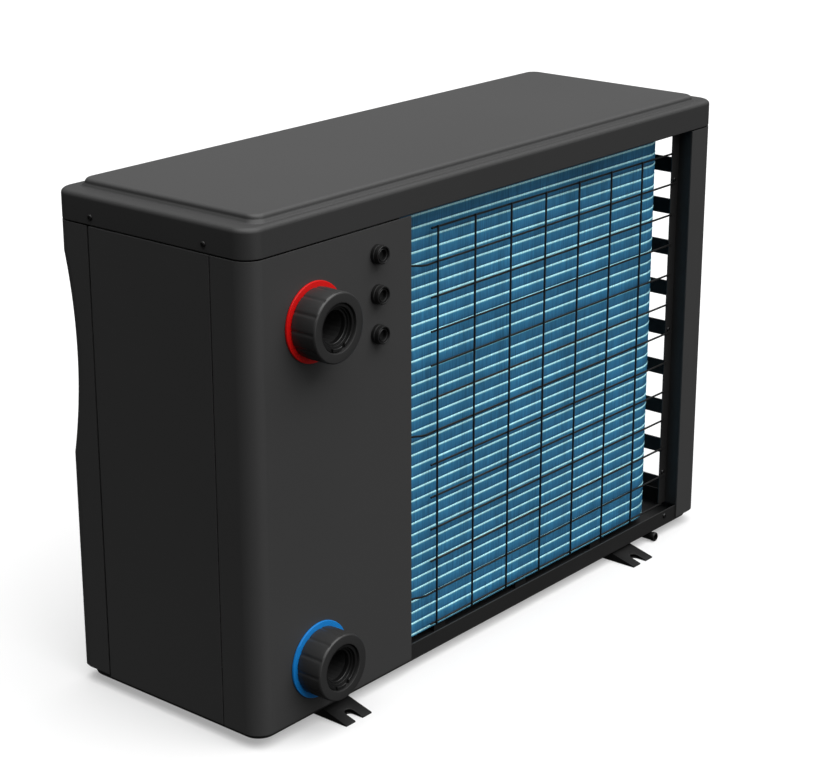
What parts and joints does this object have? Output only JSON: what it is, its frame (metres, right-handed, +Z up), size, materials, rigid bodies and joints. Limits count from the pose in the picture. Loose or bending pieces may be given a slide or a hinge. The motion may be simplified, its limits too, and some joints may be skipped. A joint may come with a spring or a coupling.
{
  "type": "heat pump unit",
  "caption": "Free-standing air-source pool heat pump: charcoal steel case, blue finned coil behind a wire guard, fan at the front and two water unions at the back.",
  "frame": {"origin": "middle of the whole unit's footprint, on the ground the foot rails stand on", "axes": "+X towards the service end with the water unions, +Y towards the back with the coil and unions, +Z up; the fan blows towards -Y"},
  "size_m": [0.9704, 0.397, 0.66],
  "materials": {
    "panel_paint": "fine textured satin powder coat, charcoal black",
    "dark_paint": "satin powder coat, black",
    "wire_coat": "black plastic-dipped wire",
    "zinc_sheet": "galvanised sheet with a faint spangle",
    "bare_steel": "ground steel",
    "fin_stock": "blue hydrophilic coated fin edges",
    "copper": "drawn copper tube, slightly dulled",
    "brass": "machined brass",
    "cast_aluminium": "die-cast, matt",
    "black_plastic": "moulded, fine matt",
    "grey_plastic": "moulded, matt",
    "white_plastic": "moulded, satin",
    "compressor_shell": "baked black enamel",
    "rubber": "matt",
    "red_plastic": "smooth moulded red",
    "blue_plastic": "smooth moulded blue",
    "board": "solder-masked laminate",
    "lens": "dark tinted, smooth"
  },
  "bodies": {
    "case": {"base_pan": "dark_paint", "foot_rail_right": "dark_paint", "foot_rail_left": "dark_paint", "lid": "panel_paint", "front_panel": "panel_paint", "service_panel": "panel_paint", "rear_corner_panel": "panel_paint", "coil_end_panel": "panel_paint", "partition_plate": "zinc_sheet", "lid_screw_1": "dark_paint", "lid_screw_2": "dark_paint", "coil_guard": "wire_coat", "fan_grille": "wire_coat", "bell_mouth": "black_plastic", "evaporator_coil": "fin_stock", "coil_tube_sheet": "zinc_sheet", "fan_motor": "cast_aluminium", "motor_bracket": "zinc_sheet", "compressor": "compressor_shell", "compressor_grommet_1": "rubber", "compressor_grommet_2": "rubber", "compressor_grommet_3": "rubber", "compressor_terminal_cover": "black_plastic", "accumulator": "compressor_shell", "reversing_valve": "brass", "discharge_pipe": "copper", "suction_pipe": "copper", "exchanger_gas_pipe": "copper", "coil_gas_header": "copper", "liquid_pipe": "copper", "filter_drier": "copper", "expansion_valve": "brass", "water_heat_exchanger": "white_plastic", "outlet_port_pipe": "black_plastic", "outlet_ring": "red_plastic", "inlet_port_pipe": "black_plastic", "inlet_ring": "blue_plastic", "flow_switch": "black_plastic", "inverter_heatsink": "cast_aluminium", "electrical_box": "zinc_sheet", "electrical_box_cover": "zinc_sheet", "inverter_board": "board", "cable_gland_1": "black_plastic", "cable_gland_2": "black_plastic", "cable_gland_3": "black_plastic", "controller_housing": "black_plastic", "display_lens": "lens", "drain_spigot": "black_plastic"},
    "fan": {"fan_wheel": "grey_plastic", "fan_shaft": "bare_steel", "fan_nut": "bare_steel"},
    "outlet_tail": {"outlet_union_tail": "black_plastic"},
    "outlet_nut": {"outlet_union_nut": "black_plastic"},
    "inlet_tail": {"inlet_union_tail": "black_plastic"},
    "inlet_nut": {"inlet_union_nut": "black_plastic"},
    "key_1": {"button_1": "grey_plastic"},
    "key_2": {"button_2": "grey_plastic"},
    "key_3": {"button_3": "grey_plastic"},
    "key_4": {"button_4": "grey_plastic"}
  },
  "joints": [
    {"name": "fan_spin", "type": "hinge", "parent": "case", "child": "fan", "pos_m": [-0.1352, -0.1035, 0.314], "axis": [0, 1, 0], "continuous": true},
    {"name": "outlet_tail_lift", "type": "slide", "parent": "case", "child": "outlet_tail", "axis": [0, 1, 0], "range_m": [0, 0.0076]},
    {"name": "outlet_nut_turn", "type": "hinge", "parent": "outlet_tail", "child": "outlet_nut", "pos_m": [0.3758, 0.1865, 0.521], "axis": [0, 1, 0], "range_deg": [0, 900]},
    {"name": "inlet_tail_lift", "type": "slide", "parent": "case", "child": "inlet_tail", "axis": [0, 1, 0], "range_m": [0, 0.0076]},
    {"name": "inlet_nut_turn", "type": "hinge", "parent": "inlet_tail", "child": "inlet_nut", "pos_m": [0.3758, 0.1865, 0.088], "axis": [0, 1, 0], "range_deg": [0, 900]},
    {"name": "button_1_press", "type": "slide", "parent": "case", "child": "key_1", "axis": [0, 1, 0], "range_m": [0, 0.0015], "stiffness_N_per_m": 600},
    {"name": "button_2_press", "type": "slide", "parent": "case", "child": "key_2", "axis": [0, 1, 0], "range_m": [0, 0.0015], "stiffness_N_per_m": 600},
    {"name": "button_3_press", "type": "slide", "parent": "case", "child": "key_3", "axis": [0, 1, 0], "range_m": [0, 0.0015], "stiffness_N_per_m": 600},
    {"name": "button_4_press", "type": "slide", "parent": "case", "child": "key_4", "axis": [0, 1, 0], "range_m": [0, 0.0015], "stiffness_N_per_m": 600}
  ],
  "couplings": [
    {"joint": "outlet_tail_lift", "follows": "outlet_nut_turn", "m_per_rad": 0.00047746},
    {"joint": "inlet_tail_lift", "follows": "inlet_nut_turn", "m_per_rad": 0.00047746}
  ]
}
